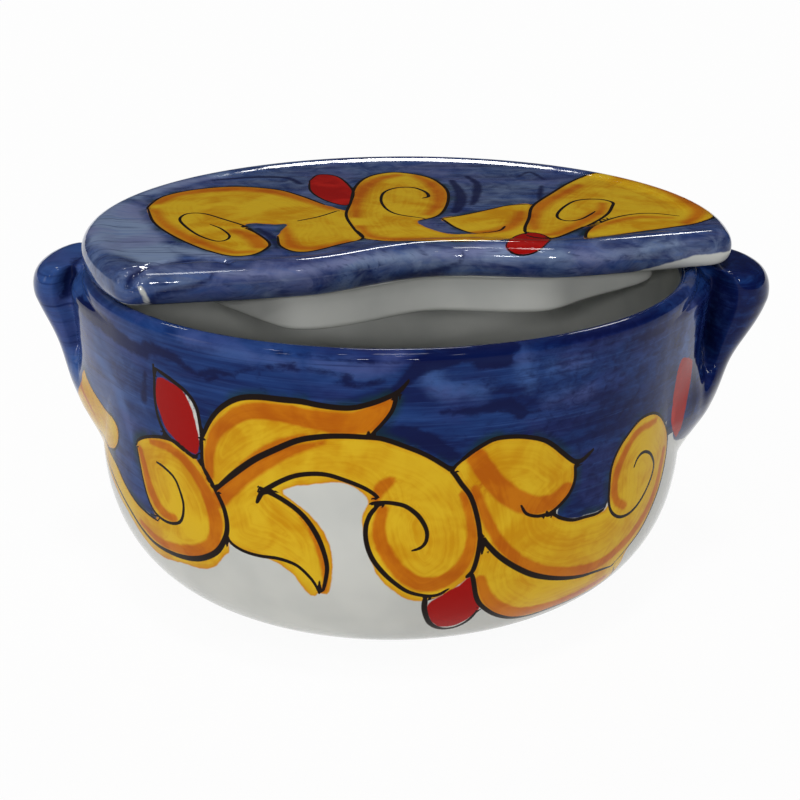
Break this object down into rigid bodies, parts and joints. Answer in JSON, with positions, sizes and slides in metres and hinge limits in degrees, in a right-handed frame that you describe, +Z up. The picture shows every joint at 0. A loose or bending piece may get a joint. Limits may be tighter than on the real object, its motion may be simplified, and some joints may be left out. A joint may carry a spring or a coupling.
{
  "type": "cheese pot",
  "caption": "Round-bellied glazed earthenware pot with ear handles and a loose half lid whose waved front edge leaves room for a spoon.",
  "frame": {"origin": "middle of the foot's underside, on the table", "axes": "+Z up; +X to the right-hand handle as seen from the spoon side; -Y to the front, where the mouth is open"},
  "size_m": [0.182, 0.1534, 0.0894],
  "materials": {
    "painted_bowl": "gloss",
    "painted_lid": "gloss",
    "blue_glaze": "gloss",
    "white_glaze": "gloss",
    "bare_clay": "matte"
  },
  "bodies": {
    "pot": {"bowl": "painted_bowl", "foot": "bare_clay", "left_handle": "blue_glaze", "right_handle": "blue_glaze"},
    "lid": {"lid_plate": "painted_lid", "lid_rim_roll": "blue_glaze", "lid_front_roll": "blue_glaze", "lid_flange": "white_glaze"}
  },
  "joints": [
    {"name": "lid_lift", "type": "slide", "parent": "pot", "child": "lid", "axis": [0, 0, 1], "range_m": [0, 0.12]}
  ]
}
